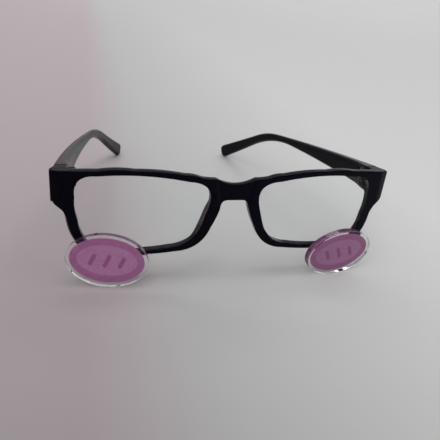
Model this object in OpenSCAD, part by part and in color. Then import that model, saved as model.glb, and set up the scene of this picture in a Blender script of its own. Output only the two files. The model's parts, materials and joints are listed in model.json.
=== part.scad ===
// Novelty eyeglasses: a black plastic front with clear lenses, two folding temples
// on three-barrel hinges, and a printed clear charm glued over each lower outer rim.
// Left and right are the wearer's. The pair stands on its charms and temple tips.

/* [Front] */
// Distance between the two lens openings at their upper nose corners
bridge_gap = 15.1; // [13:0.1:19]
// Height of the bridge at its middle
bridge_h = 6.8; // [5.5:0.1:8]
// How far the top of the bridge dips below its shoulders
bridge_sag = 2.2; // [1.5:0.05:2.8]
// How far each end piece reaches past its lens opening
end_piece_w = 8; // [5.6:0.1:8.4]
// Height of each end piece
end_piece_h = 13; // [12:0.1:14.5]
// Radius of the front's wrap round the face
wrap_r = 400; // [300:10:600]
// Depth of the rims from front to back
rim_d = 4; // [3.4:0.1:5]
// Height of the rim above the lens
rim_top = 2.6; // [1.6:0.1:3.5]
// Height of the rim below the lens
rim_bottom = 1.7; // [1.4:0.1:3]
// Width of the rim at the nose
rim_nose = 2.8; // [2.2:0.1:4]
// Width of the rim at the temple side
rim_side = 3.8; // [2.4:0.1:4.4]

/* [Lens openings] */
// Width of an opening along its top
opening_w = 55.5; // [50:0.1:60]
// Height of an opening at its outer side
opening_h = 32.4; // [28:0.1:38]
// How much the top edge rises from the nose to the outer corner
opening_rise = 1.85; // [0:0.05:4]
// How much the bottom edge rises back towards the nose
bottom_rise = 3.5; // [1:0.1:6]
// How far the outer side leans in towards the bottom
side_lean = 3.2; // [0:0.1:6]
// How far the nose side leans out towards the bottom
nose_lean = 8.2; // [5:0.1:11]
// Softness of the upper nose corner
soft_nose_top = 11.6; // [6:0.1:13]
// Softness of the upper outer corner
soft_outer_top = 9.4; // [4:0.1:13]
// Softness of the lower outer corner
soft_outer_low = 13.9; // [6:0.1:15]
// Softness of the lower nose corner
soft_nose_low = 10.5; // [5:0.1:13]

/* [Nose pads] */
// Distance between a nose pad and the rim's nose edge
pad_edge = 0.5; // [0.2:0.1:1]
// Softness of a nose pad's corners
pad_soft = 1.4; // [0.8:0.1:1.6]
// Length of each moulded nose pad
pad_len = 11; // [7:0.5:13]
// How far each pad stands back from the rim
pad_back = 2.2; // [1:0.1:3.5]

/* [Lenses] */
// Thickness of a lens
lens_t = 2; // [1.6:0.1:2.2]
// Thickness of the lens edge that sits in the groove
lens_edge_t = 0.9; // [0.6:0.1:1.2]
// How far the lens edge reaches into the groove
lens_bite = 0.7; // [0.4:0.05:0.9]
// Distance from the front of the rim to the front of the lens
lens_inset = 1; // [0.7:0.1:1.2]
// Clearance all round a lens
lens_clear = 0.05; // [0.02:0.01:0.1]

/* [Temples] */
// Distance straight back from the hinge seam to the temple tip
temple_len = 143; // [125:1:150]
// Distance straight back from the hinge seam to the ear bend
temple_bend = 97.5; // [85:0.5:105]
// Height of a temple at its root
temple_root_h = 11; // [9:0.1:12]
// Height of a temple at its tip
temple_tip_h = 7.3; // [6:0.1:10]
// Thickness of a temple at its root
temple_root_t = 4.8; // [4.2:0.1:5.6]
// Thickness of a temple at its tip
temple_tip_t = 2.5; // [2:0.1:3.4]
// How far the top edge falls from the hinge to the ear bend
temple_fall = 9.5; // [4:0.1:12]
// How far the top edge falls from the ear bend to the tip
tip_drop = 22; // [14:0.5:28]
// Radius of the temple's bow round the head
bow_r = 427; // [320:1:800]
// Angle by which a temple starts inwards at the hinge
temple_toe = 2; // [0:0.1:4]

/* [Hinges] */
// Distance from the bridge's front back to the hinge seam
seam_y = 14; // [12.5:0.1:17]
// Gap between an end piece and its temple when open
seam_gap = 0.3; // [0.2:0.05:0.6]
// Radius of the hinge barrels
barrel_r = 1.5; // [1.3:0.05:1.7]
// Radius of the hinge screw's shank
screw_r = 0.7; // [0.5:0.05:0.8]
// Clearance between the screw and its bores
screw_clear = 0.05; // [0.02:0.01:0.08]
// Height of one hinge barrel
barrel_h = 2; // [1.5:0.1:2.4]
// Gap between two hinge barrels
barrel_gap = 0.12; // [0.08:0.01:0.2]
// Distance between the barrels and the plastic beside them
barrel_stand = 0.3; // [0.2:0.05:0.5]
// Thickness of the hinge leaves
leaf_t = 1; // [0.7:0.1:1.3]
// Length of the hinge leaves
leaf_len = 6; // [4:0.1:8]
// Radius of the screw head
head_r = 1.3; // [1.1:0.05:1.45]
// Height of the screw head
head_h = 0.8; // [0.5:0.1:1.2]
// Depth of the hinge's top barrel below the temple's top edge
hinge_drop = 2; // [1.6:0.1:2.2]

/* [Charms] */
// Width of the printed oval
print_w = 29.5; // [24:0.1:36]
// Height of the printed oval
print_h = 18.6; // [14:0.1:23]
// Clear border round the printed oval
charm_border = 1.6; // [1:0.1:3]
// Thickness of the whole charm
charm_t = 3; // [2.4:0.1:4]
// Thickness of the printed film between the two clear layers
film_t = 0.2; // [0.1:0.05:0.4]
// Width of the darker ring round the print
ring_w = 2.9; // [1.5:0.1:4]
// Length of the middle blush stroke
stroke_len = 5.8; // [4:0.1:7]
// Length of the two outer blush strokes
side_stroke_len = 5.2; // [4:0.1:6.5]
// Width of a blush stroke
stroke_w = 1.7; // [1:0.1:2.2]
// Distance from one blush stroke to the next
stroke_step = 5.85; // [4:0.05:6.5]
// Slant of the blush strokes
stroke_slant = 20; // [0:1:30]
// Distance from an opening's upper outer corner in to the middle of a charm
charm_in = 12.55; // [10:0.05:17]
// Depth of the middle of a charm below an opening's lower outer corner
charm_low = 2.25; // [0.5:0.05:4]
// How much higher than the left charm the right one is glued
charm_offset = 0.8; // [0:0.1:2]
// How much nearer the nose the right charm is glued than the left one
charm_shift = 0.9; // [0:0.1:1.5]
// Turn of a charm in its own plane, outer end up
charm_turn = 5; // [0:0.5:20]
// Angle by which a charm turns back with the front's wrap
charm_wrap = 9; // [5:0.5:12]
// Angle by which the right charm leans back and the left one forward
charm_lean = 6; // [0:0.5:7]
// Thinnest glue between a charm and its rim
glue_t = 0.2; // [0.15:0.05:0.6]
// Radius of a dot of glue
glue_r = 0.7; // [0.4:0.05:0.7]

/* [Hidden] */

big = 80;
soft_steps = 8;
edge_steps = 6;
oval_steps = 72;
wrap_steps = 1440;
frame_black = "#17161c";
steel = "#5a5b60";
clear = [0.86, 0.86, 0.88, 0.35];
print_pink = "#8a5f80";
ring_pink = "#7a4769";
stroke_pink = "#6b4163";

// Corners of the left opening, nose top, outer top, outer bottom and nose bottom
corner_drop = 2.8;
nose_top = [bridge_gap / 2, -corner_drop];
outer_top = nose_top + [opening_w, opening_rise];
outer_low = outer_top + [-side_lean, -opening_h];
nose_low = [nose_top[0] + nose_lean, outer_low[1] + bottom_rise];
half_w = outer_top[0] + end_piece_w;

// Top line of the front
bridge_shoulder = nose_top + [3.6, rim_top - 1.05];
brow = nose_top + [0.404 * opening_w, rim_top + 2.2];
brow_end = outer_top + [-0.1 * opening_w, rim_top - 0.8];
bridge_low = bridge_shoulder[1] - bridge_sag - bridge_h;

// Each corner is x, z, softness and the bow of the edge that follows it
opening_corners = [
    [nose_top[0], nose_top[1], soft_nose_top, 1.35],
    [outer_top[0], outer_top[1], soft_outer_top, 0.5],
    [outer_low[0], outer_low[1], soft_outer_low, 0.57],
    [nose_low[0], nose_low[1], soft_nose_low, 0]
];
end_step = 2.9;
front_corners = [
    [bridge_shoulder[0], bridge_shoulder[1], 3, 0.36],
    [brow[0], brow[1], 9.7, 0.53],
    [brow_end[0], brow_end[1], 4, 0],
    [half_w, 0, 0.8, 0],
    [half_w - 0.8, -end_piece_h, 1.2, 0],
    [outer_top[0] + rim_side - 0.6, -end_piece_h - end_step, 1.5, 0],
    [outer_low[0] + rim_side, outer_low[1] - rim_bottom, soft_outer_low + 1.1, 0.5],
    [nose_low[0] - rim_nose, nose_low[1] - rim_bottom - 0.2, soft_nose_low, 0.34],
    [nose_top[0] - rim_nose + 0.15, bridge_low, 1.8, 0]
];

function unit(v) = v / norm(v);
function left_of(v) = [-v[1], v[0]];
function curve(a, b, c, t) = (1 - t) * (1 - t) * a + 2 * t * (1 - t) * b + t * t * c;
function xz(p) = [p[0], p[1]];
function from_corner(q, towards, cut) = q + cut * unit(towards - q);

// Points round a closed outline: a curve at each soft corner, then the bowed edge after it
function outline(c) = [
    for (k = [0:len(c) - 1])
        let (
            before = xz(c[(k + len(c) - 1) % len(c)]),
            here = xz(c[k]),
            after = c[(k + 1) % len(c)],
            start = from_corner(here, before, c[k][2]),
            end = from_corner(here, xz(after), c[k][2]),
            next = from_corner(xz(after), here, after[2]),
            mid = (end + next) / 2 + 2 * c[k][3] * left_of(unit(next - end))
        )
        each concat(
            c[k][2] == 0 ? [here] : [for (i = [0:soft_steps]) curve(start, here, end, i / soft_steps)],
            c[k][3] == 0 ? [] : [for (i = [1:edge_steps - 1]) curve(end, mid, next, i / edge_steps)]
        )
];

// The same outline moved outwards by d
function grown(p, d) = [
    for (k = [0:len(p) - 1])
        p[k] + d * left_of(unit(p[(k + 1) % len(p)] - p[(k + len(p) - 1) % len(p)]))
];

function reversed(v) = [for (k = [len(v) - 1:-1:0]) v[k]];

// The right half's corners run backwards, so each takes the bow of the edge before it
function both_halves(c, top_bow) = concat(c, [
    for (k = [len(c) - 1:-1:0])
        [-c[k][0], c[k][1], c[k][2], k == 0 ? top_bow : c[k - 1][3]]
]);

opening = outline(opening_corners);
front_outline = outline(both_halves(front_corners, -bridge_sag));

function wrap_y(x) = wrap_r - sqrt(wrap_r * wrap_r - x * x);

// Hinge: the seam's inner edge, the screw's axis and the barrels' heights
temple_in = half_w - 1.6 - temple_root_t;
hinge_x = temple_in - barrel_r - barrel_stand;
hinge_y = seam_y + seam_gap / 2;
leaf_h = 3 * barrel_h + 2 * barrel_gap;
hinge_top = -hinge_drop;
bore_r = screw_r + screw_clear;
end_top = 0.2;
temple_top = 0;

// Temple side view, straight back and up, from the root
tip_under = temple_fall + tip_drop + temple_tip_h;
temple_corners = [
    [0, temple_top, 0, 0],
    [temple_bend, temple_top - temple_fall, 10, 0],
    [temple_len + 0.5, temple_top - temple_fall - tip_drop, 3, 0],
    [temple_len - 2, temple_top - tip_under - 0.3, 3, 0],
    [temple_bend - 5, temple_top - temple_root_h, 22, 0],
    [0, temple_top - temple_root_h, 0, 0]
];

// Plan view of a temple: inner and outer arcs, each with its middle and radius
taper = 1.7;
toe_out = temple_toe + taper;
inner_mid = bow_r * [-cos(temple_toe), -sin(temple_toe)];
tip_in = inner_mid[0] + sqrt(bow_r * bow_r - pow(temple_len - inner_mid[1], 2));
tip_turn = asin((temple_len - inner_mid[1]) / bow_r);
tip_out = [tip_in + temple_tip_t / cos(tip_turn), temple_len];
out_chord = tip_out - [temple_root_t, 0];
chord_turn = atan2(-out_chord[0], out_chord[1]) - toe_out;
outer_r = norm(out_chord) / (2 * sin(chord_turn));
outer_mid = [temple_root_t, 0] + outer_r * [-cos(toe_out), -sin(toe_out)];

// Charms: the back plane clears the nearest point of the rim by the glue
charm_w = print_w + 2 * charm_border;
charm_h = print_h + 2 * charm_border;
layer_t = (charm_t - film_t) / 2;
rim_points = concat(opening, grown(opening, rim_bottom));
function charm_mid_x(side) = outer_top[0] - charm_in + side * charm_shift / 2;
function charm_z(side) = outer_low[1] - charm_low - side * charm_offset / 2;
function lean_of(side) = -side * charm_lean;
function rim_gap(p, side) =
    wrap_y(p[0]) - (p[0] - charm_mid_x(side)) * tan(charm_wrap)
    - (p[1] - charm_z(side)) * tan(lean_of(side));
function under_charm(p, side, reach) =
    pow(2 * (p[0] - charm_mid_x(side)) / charm_w, 2)
    + pow(2 * (p[1] - charm_z(side)) / charm_h, 2) < reach;
function charm_y(side) =
    min([for (p = rim_points) if (under_charm(p, side, 1.1)) rim_gap(p, side)]) - glue_t;

// Resting lean, so that the charms and the temple tips stand on one plane
charm_reach = sqrt(pow(charm_w / 2 * sin(charm_turn), 2) + pow(charm_h / 2 * cos(charm_turn), 2));
charm_foot = [
    charm_y(1) + charm_reach * sin(charm_lean) - charm_t * cos(charm_lean),
    charm_z(1) - charm_reach * cos(charm_lean) - charm_t * sin(charm_lean)
];
tip_back = seam_y + seam_gap + temple_len;
tip_foot = [tip_back - 2.4, temple_top - tip_under + 0.8];
rest_lean = atan((tip_foot[1] - charm_foot[1]) / (tip_foot[0] - charm_foot[0]));
function rest_y(p) = p[0] * cos(rest_lean) + p[1] * sin(rest_lean);
function rest_z(p) = p[1] * cos(rest_lean) - p[0] * sin(rest_lean);

// The origin is below the middle of the whole pair as it rests
charm_front = charm_t + norm([charm_w / 2 * sin(charm_wrap), charm_h / 2 * sin(charm_lean)]);
front_most = [charm_y(-1) - charm_front, charm_z(-1) - charm_h / 5];
back_most = [tip_back + 0.1, temple_top - tip_under + temple_tip_h - 2];
origin_y = (rest_y(front_most) + rest_y(back_most)) / 2;
origin_z = rest_z(charm_foot);

echo(half_w = half_w, hinge_x = hinge_x, hinge_y = hinge_y, temple_in = temple_in);
echo(rest_lean = rest_lean, origin_y = origin_y, origin_z = origin_z);
echo(charm_y_left = charm_y(1), charm_y_right = charm_y(-1), outer_r = outer_r);

module stand() {
    translate([0, -origin_y, -origin_z])
        rotate([-rest_lean, 0, 0])
            children();
}

module on_side(side) {
    if (side < 0)
        mirror([1, 0, 0])
            children();
    else
        children();
}

// A flat outline in the front's plane, run right through the front
module through_front(points) {
    translate([0, big / 2, 0])
        rotate([90, 0, 0])
            linear_extrude(big)
                polygon(points);
}

// Everything further back than a depth below the front's curved face
module behind_face(depth) {
    translate([0, wrap_r, -big])
        cylinder(r = wrap_r - depth, h = 2 * big, $fn = wrap_steps);
}

// A slice of the wrapped front between two depths
module wrapped(points, from, to) {
    difference() {
        intersection() {
            through_front(points);
            behind_face(from);
        }
        behind_face(to);
    }
}

// The end piece's return, back to the hinge seam
module end_return() {
    intersection() {
        translate([0, 0, -big / 2])
            linear_extrude(big)
                polygon([
                    [temple_in, 0], [half_w, 0], [half_w, wrap_y(half_w) + 2.5],
                    [temple_in + temple_root_t, seam_y], [temple_in, seam_y]
                ]);
        rotate([90, 0, 90])
            linear_extrude(big)
                polygon([
                    [0, end_top], [seam_y, temple_top], [seam_y, -end_piece_h + 1.7],
                    [wrap_y(half_w) + 1, -end_piece_h], [0, -end_piece_h]
                ]);
        behind_face(0);
    }
}

// A pad moulded on the back of the rim's nose side, flush with the lens opening
module nose_pad() {
    low = nose_low + [0, soft_nose_low * 0.5];
    run = unit(nose_top + [0, -soft_nose_top * 0.7] - low);
    start = low + run * 1.5;
    end = start + run * pad_len;
    inner = left_of(run) * -pad_soft;
    outer = left_of(run) * (rim_nose - pad_edge);
    corners = [for (p = [start + inner, end + inner, end + outer, start + outer]) [p[0], p[1], pad_soft, 0]];
    wrapped(outline(corners), rim_d - 1, rim_d + pad_back);
}

// A hinge leaf's plate, let into the plastic beside the seam, or its pocket, open inwards
module leaf_plate(from_y, length, opened = 0) {
    translate([temple_in - opened, from_y, hinge_top - leaf_h])
        cube([leaf_t + opened, length, leaf_h]);
}

// One barrel with the web that joins it to its plate, before it is bored
module barrel(level, from_y, to_y) {
    z = hinge_top - leaf_h + level * (barrel_h + barrel_gap);
    translate([hinge_x, hinge_y, z])
        cylinder(r = barrel_r, h = barrel_h, $fn = 48);
    translate([hinge_x, from_y, z])
        cube([temple_in + leaf_t - hinge_x, to_y - from_y, barrel_h]);
}

module screw_bore() {
    translate([hinge_x, hinge_y, hinge_top - leaf_h - 1])
        cylinder(r = bore_r, h = leaf_h + 2, $fn = 48);
}

module front_frame() {
    color(frame_black)
        stand()
            difference() {
                union() {
                    wrapped(front_outline, 0, rim_d);
                    for (side = [-1, 1])
                        on_side(side) {
                            end_return();
                            nose_pad();
                        }
                }
                for (side = [-1, 1])
                    on_side(side) {
                        through_front(opening);
                        wrapped(
                            grown(opening, lens_bite + lens_clear),
                            lens_inset + (lens_t - lens_edge_t) / 2 - lens_clear,
                            lens_inset + (lens_t + lens_edge_t) / 2 + lens_clear
                        );
                        leaf_plate(seam_y - leaf_len, leaf_len + 1);
                    }
            }
}

module lens(side) {
    color(clear)
        stand()
            on_side(side) {
                wrapped(grown(opening, -lens_clear), lens_inset, lens_inset + lens_t);
                wrapped(
                    grown(opening, lens_bite),
                    lens_inset + (lens_t - lens_edge_t) / 2,
                    lens_inset + (lens_t + lens_edge_t) / 2
                );
            }
}

module temple(side) {
    color(frame_black)
        stand()
            on_side(side)
                difference() {
                    translate([temple_in, seam_y + seam_gap, 0])
                        difference() {
                            intersection() {
                                translate([-big, 0, 0])
                                    rotate([90, 0, 90])
                                        linear_extrude(2 * big)
                                            polygon(outline(temple_corners));
                                translate([outer_mid[0], outer_mid[1], -big])
                                    cylinder(r = outer_r, h = 2 * big, $fn = wrap_steps);
                            }
                            translate([inner_mid[0], inner_mid[1], -big])
                                cylinder(r = bow_r, h = 2 * big, $fn = wrap_steps);
                        }
                    leaf_plate(seam_y + seam_gap - 1, leaf_len + 1, leaf_t);
                }
}

module hinge_front(side) {
    color(steel)
        stand()
            on_side(side)
                difference() {
                    union() {
                        leaf_plate(seam_y - leaf_len, leaf_len);
                        for (level = [0, 2])
                            barrel(level, hinge_y - barrel_r, seam_y);
                    }
                    screw_bore();
                }
}

module hinge_temple(side) {
    color(steel)
        stand()
            on_side(side)
                difference() {
                    union() {
                        leaf_plate(seam_y + seam_gap, leaf_len);
                        barrel(1, seam_y + seam_gap, hinge_y + barrel_r);
                    }
                    screw_bore();
                }
}

module hinge_screw(side) {
    color(steel)
        stand()
            on_side(side)
                difference() {
                    translate([hinge_x, hinge_y, 0]) {
                        translate([0, 0, hinge_top - leaf_h - 0.2])
                            cylinder(r = screw_r, h = leaf_h + 0.3, $fn = 48);
                        translate([0, 0, hinge_top])
                            cylinder(r = head_r, h = head_h, $fn = 48);
                    }
                    translate([hinge_x - head_r - 1, hinge_y - 0.2, hinge_top + head_h / 2])
                        cube([2 * head_r + 2, 0.4, head_h]);
                }
}

function oval(w, h) = [
    for (i = [0:oval_steps - 1])
        [w / 2 * cos(i * 360 / oval_steps), h / 2 * sin(i * 360 / oval_steps)]
];

// Puts a flat piece in a charm's plane, with its back plane at height 0
module in_charm(side) {
    stand()
        on_side(side)
            translate([charm_mid_x(side), charm_y(side), charm_z(side)])
                rotate([0, 0, charm_wrap])
                    rotate([90 - lean_of(side), 0, 0])
                        rotate([0, 0, charm_turn])
                            children();
}

module charm_back(side) {
    color(clear)
        in_charm(side)
            linear_extrude(layer_t)
                polygon(oval(charm_w, charm_h));
}

module charm_cover(side) {
    color(clear)
        in_charm(side)
            difference() {
                translate([0, 0, layer_t])
                    linear_extrude(layer_t + film_t)
                        polygon(oval(charm_w, charm_h));
                translate([0, 0, layer_t - 1])
                    linear_extrude(film_t + 1)
                        polygon(oval(print_w, print_h));
            }
}

module film() {
    translate([0, 0, layer_t])
        linear_extrude(film_t)
            children();
}

// Three slanted strokes, lower ends outwards
module strokes() {
    for (k = [-1:1]) {
        half = (k == 0 ? stroke_len : side_stroke_len) / 2 - stroke_w / 2;
        translate([k * stroke_step, -0.3])
            rotate(stroke_slant) {
                square([stroke_w, 2 * half], center = true);
                for (end = [-half, half])
                    translate([0, end])
                        circle(d = stroke_w, $fn = 32);
            }
    }
}

module blush_base(side) {
    color(print_pink)
        in_charm(side)
            film()
                difference() {
                    polygon(oval(print_w - 2 * ring_w, print_h - 2 * ring_w));
                    strokes();
                }
}

module blush_ring(side) {
    color(ring_pink)
        in_charm(side)
            film()
                difference() {
                    polygon(oval(print_w, print_h));
                    polygon(oval(print_w - 2 * ring_w, print_h - 2 * ring_w));
                }
}

module blush_strokes(side) {
    color(stroke_pink)
        in_charm(side)
            film()
                strokes();
}

// Dots of glue on the rim's face behind the charm, each cut off at the charm's back
module adhesive(side) {
    line = grown(opening, rim_bottom / 2);
    color(clear)
        difference() {
            stand()
                on_side(side)
                    for (k = [0:2:len(line) - 1])
                        if (under_charm(line[k], side, 0.7))
                            translate([line[k][0], wrap_y(line[k][0]), line[k][1]])
                                rotate([90, 0, asin(line[k][0] / wrap_r)])
                                    cylinder(r = glue_r, h = charm_t, $fn = 48);
            in_charm(side)
                translate([-big / 2, -big / 2, 0])
                    cube([big, big, 10]);
        }
}

front_frame();
lens(1);  // lens_left
lens(-1);  // lens_right
temple(1);  // temple_left
temple(-1);  // temple_right
hinge_front(1);  // hinge_front_left
hinge_front(-1);  // hinge_front_right
hinge_temple(1);  // hinge_temple_left
hinge_temple(-1);  // hinge_temple_right
hinge_screw(1);  // hinge_screw_left
hinge_screw(-1);  // hinge_screw_right
charm_back(1);  // charm_back_left
charm_back(-1);  // charm_back_right
charm_cover(1);  // charm_cover_left
charm_cover(-1);  // charm_cover_right
blush_base(1);  // blush_base_left
blush_base(-1);  // blush_base_right
blush_ring(1);  // blush_ring_left
blush_ring(-1);  // blush_ring_right
blush_strokes(1);  // blush_strokes_left
blush_strokes(-1);  // blush_strokes_right
adhesive(1);  // adhesive_left
adhesive(-1);  // adhesive_right
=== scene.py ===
# Novelty eyeglasses: a glossy black acetate front and temples, clear lenses, steel hinges
# and a clear printed charm over each lower outer rim. Sizes are real: the pair's in
# millimetres, those of the room, the lamps and the camera's place in metres.
import json
import math
import bmesh
import bpy
from mathutils import Euler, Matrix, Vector
from mathutils.geometry import delaunay_2d_cdt


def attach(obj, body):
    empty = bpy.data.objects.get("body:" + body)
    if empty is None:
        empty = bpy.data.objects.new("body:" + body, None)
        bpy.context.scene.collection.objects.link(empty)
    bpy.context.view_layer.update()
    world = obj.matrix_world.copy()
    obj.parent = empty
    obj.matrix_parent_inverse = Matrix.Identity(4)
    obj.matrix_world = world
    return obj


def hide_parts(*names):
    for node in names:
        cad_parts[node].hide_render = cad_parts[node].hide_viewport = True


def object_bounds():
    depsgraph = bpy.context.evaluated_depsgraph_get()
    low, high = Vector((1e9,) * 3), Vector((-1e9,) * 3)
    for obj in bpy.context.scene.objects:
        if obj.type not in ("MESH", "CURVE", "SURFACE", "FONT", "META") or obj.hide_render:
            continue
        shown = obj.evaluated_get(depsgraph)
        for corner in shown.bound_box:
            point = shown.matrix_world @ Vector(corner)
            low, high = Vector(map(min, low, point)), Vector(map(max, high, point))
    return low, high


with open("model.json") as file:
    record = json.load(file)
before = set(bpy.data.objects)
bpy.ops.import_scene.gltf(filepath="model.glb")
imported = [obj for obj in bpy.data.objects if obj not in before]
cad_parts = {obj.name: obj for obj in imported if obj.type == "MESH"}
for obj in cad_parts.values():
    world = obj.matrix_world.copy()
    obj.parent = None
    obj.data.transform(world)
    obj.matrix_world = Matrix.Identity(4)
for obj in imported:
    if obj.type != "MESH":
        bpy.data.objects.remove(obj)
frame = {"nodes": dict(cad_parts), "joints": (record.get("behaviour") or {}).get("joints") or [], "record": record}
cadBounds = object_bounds()
nodes = frame["nodes"]
perMetre = 1000

# The pair is drawn upright and stands a little leant on its charms and temple tips. The lean
# and the place follow the axis of the left hinge.
seam = {"y": 14, "gap": 0.3}     # between each end piece and its temple
leaf = {"thick": 1, "length": 6, "drop": 2, "height": 6.24, "clear": 0.03, "open": 1}     # of each hinge
leftFold = next(joint for joint in frame["joints"] if joint["name"] == "left_fold")
upright = Vector(leftFold["axis"])
lean = math.atan2(upright.y, upright.z)


def leant(x, y, z):
    back = y * math.cos(lean) + z * math.sin(lean)
    up = z * math.cos(lean) - y * math.sin(lean)
    return Vector((x, back, up)) / perMetre


screwMiddle = leant(perMetre * leftFold["pos_m"][0], seam["y"] + seam["gap"] / 2,
                    -leaf["drop"] - leaf["height"] / 2)
standing = Vector(leftFold["pos_m"]) - screwMiddle


def inRow(x, y, z):
    return leant(x, y, z) + standing


def mix(a, b, t):
    return a + (b - a) * t


def mixed(first, second, t):
    return [mix(a, b, t) for a, b in zip(first, second)]


def limited(t):
    return min(1, max(0, t))


def ramp(value, low, high):
    t = limited((value - low) / (high - low))
    return t * t * (3 - 2 * t)


# Outlines, from corners of (x, z, softness, bow of the edge after it)
drawing = {"step": 1.0, "cornerSteps": 4, "cornerDensity": 1.5, "least": 0.03}


def leftOf(v):
    return Vector((-v.y, v.x))


def bend(a, b, c, t):
    return (1 - t) ** 2 * a + 2 * t * (1 - t) * b + t * t * c


def outline(corners, step=drawing["step"]):
    points = []
    for k, (x, z, soft, bow) in enumerate(corners):
        before, here = Vector(corners[k - 1][:2]), Vector((x, z))
        after = corners[(k + 1) % len(corners)]
        following = Vector(after[:2])
        start = here + soft * (before - here).normalized()
        end = here + soft * (following - here).normalized()
        nextStart = following + after[2] * (here - following).normalized()
        middle = (end + nextStart) / 2 + 2 * bow * leftOf((nextStart - end).normalized())
        if soft:
            steps = max(drawing["cornerSteps"], math.ceil(soft * drawing["cornerDensity"] / step))
            points += [bend(start, here, end, i / steps) for i in range(steps + 1)]
        else:
            points.append(here)
        steps = max(1, math.ceil((nextStart - end).length / step))
        points += [bend(end, middle, nextStart, i / steps) for i in range(1, steps)]
    return thinned(points)


def thinned(points, least=drawing["least"]):
    kept = []
    for p in points:
        if not kept or (p - kept[-1]).length > least:
            kept.append(p)
    if (kept[0] - kept[-1]).length < least:
        kept.pop()
    return kept


def normalsOf(points):
    count = len(points)
    return [leftOf((points[(k + 1) % count] - points[k - 1]).normalized()) for k in range(count)]


def grown(points, distance):
    return [p + distance * n for p, n in zip(points, normalsOf(points))]


def inside(p, loop):
    crossings = 0
    for k in range(len(loop)):
        a, b = loop[k - 1], loop[k]
        if (a.y > p.y) != (b.y > p.y) and p.x < a.x + (p.y - a.y) / (b.y - a.y) * (b.x - a.x):
            crossings += 1
    return crossings % 2 == 1


# Shells: a flat outline with holes, given thickness, rounded or bevelled edges and a place
edging = {"points": 4, "roundShare": 0.45}     # each round end takes at most this share of a bevel
ringCount = 2 * edging["points"]


# An edge in section, as distances in from the outline and down from the face
def edgeRings(width, drop, soften):
    a, b = Vector((width, 0)), Vector((0, drop))
    along = (b - a).normalized() * min(edging["roundShare"] * (b - a).length, soften)
    steps = [i / (edging["points"] - 1) for i in range(edging["points"])]
    face = [bend(a + Vector((soften, 0)), a, a + along, t) for t in steps]
    wall = [bend(b - along, b, b + Vector((0, soften)), t) for t in steps]
    return face + wall


# Faces between rings of points that follow one another in the list
def bandFaces(count, bands, first=0):
    faces = []
    for r in range(bands):
        for i in range(count):
            a, b = first + r * count + i, first + r * count + (i + 1) % count
            faces.append((a, b, b + count, a + count))
    return faces


# Closes one side of a shell inside its rims, with a field of points where the face bends
def addCap(verts, faces, rims, place, back, field, clear):
    flat, ids, edges = [], [], []
    for points, first in rims:
        start, count = len(flat), len(points)
        flat += points
        ids += range(first, first + count)
        edges += [(start + i, start + (i + 1) % count) for i in range(count)]
    outer, holes = rims[0][0], [points for points, _ in rims[1:]]
    border = list(flat)
    for p in field:
        if inside(p, outer) and not any(inside(p, hole) for hole in holes):
            if min((p - q).length for q in border) > clear:
                flat.append(p)
                ids.append(len(verts))
                verts.append(place(p.x, p.y, 0, back))
    insideOnly, merge = 1, 1e-6
    found, _, triangles, source, _, _ = delaunay_2d_cdt(flat, edges, [], insideOnly, merge)
    at = []
    for p, given in zip(found, source):
        at.append(ids[given[0]] if given else len(verts))
        if not given:     # a point that the triangulation added
            verts.append(place(p.x, p.y, 0, back))
    for corner in triangles:
        middle = sum((found[i] for i in corner), Vector((0, 0))) / 3
        if not any(inside(middle, hole) for hole in holes):
            faces.append(tuple(at[i] for i in corner))


# A plain field, in rows down from the top
def gridPoints(columns, rows, stepX, stepZ, top=0):
    return [Vector((x * stepX, top - z * stepZ)) for x in columns for z in range(rows)]


def shellMesh(loops, place, field=(), clear=0):
    verts, faces, rims = [], [], {False: [], True: []}
    for loop in loops:
        points, normals = loop["points"], normalsOf(loop["points"])
        count, first = len(points), len(verts)
        for back in (False, True):
            edge = loop["backEdge"] if back else loop["frontEdge"]
            rings = [edge(p, n) for p, n in zip(points, normals)]
            for r in reversed(range(ringCount)) if back else range(ringCount):
                moved = [p - loop["sign"] * rings[i][r].x * normals[i] for i, p in enumerate(points)]
                verts += [place(q.x, q.y, rings[i][r].y, back) for i, q in enumerate(moved)]
                if r == 0:
                    rims[back].append((moved, len(verts) - count))
        faces += bandFaces(count, 2 * ringCount - 1, first)
    for back in (False, True):
        addCap(verts, faces, rims[back], place, back, field, clear)
    return verts, faces


def loftMesh(sections):
    count, bands = len(sections[0]), len(sections) - 1
    verts = [p for ring in sections for p in ring]
    ends = [tuple(range(count)), tuple(range(bands * count, (bands + 1) * count))]
    return verts, ends + bandFaces(count, bands)


def makePiece(name, parts, material=None, flip=False):
    shape = bmesh.new()
    for verts, faces in parts:
        added = [shape.verts.new((-v.x, v.y, v.z) if flip else v) for v in verts]
        fresh = [shape.faces.new([added[i] for i in face]) for face in faces]
        bmesh.ops.recalc_face_normals(shape, faces=fresh)
    for face in shape.faces:
        face.smooth = True
    mesh = bpy.data.meshes.new(name)
    shape.to_mesh(mesh)
    shape.free()
    if material:
        mesh.materials.append(material)
    return placedObject(name, mesh)


def placedObject(name, data):
    made = bpy.data.objects.new(name, data)
    bpy.context.scene.collection.objects.link(made)
    return made


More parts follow.
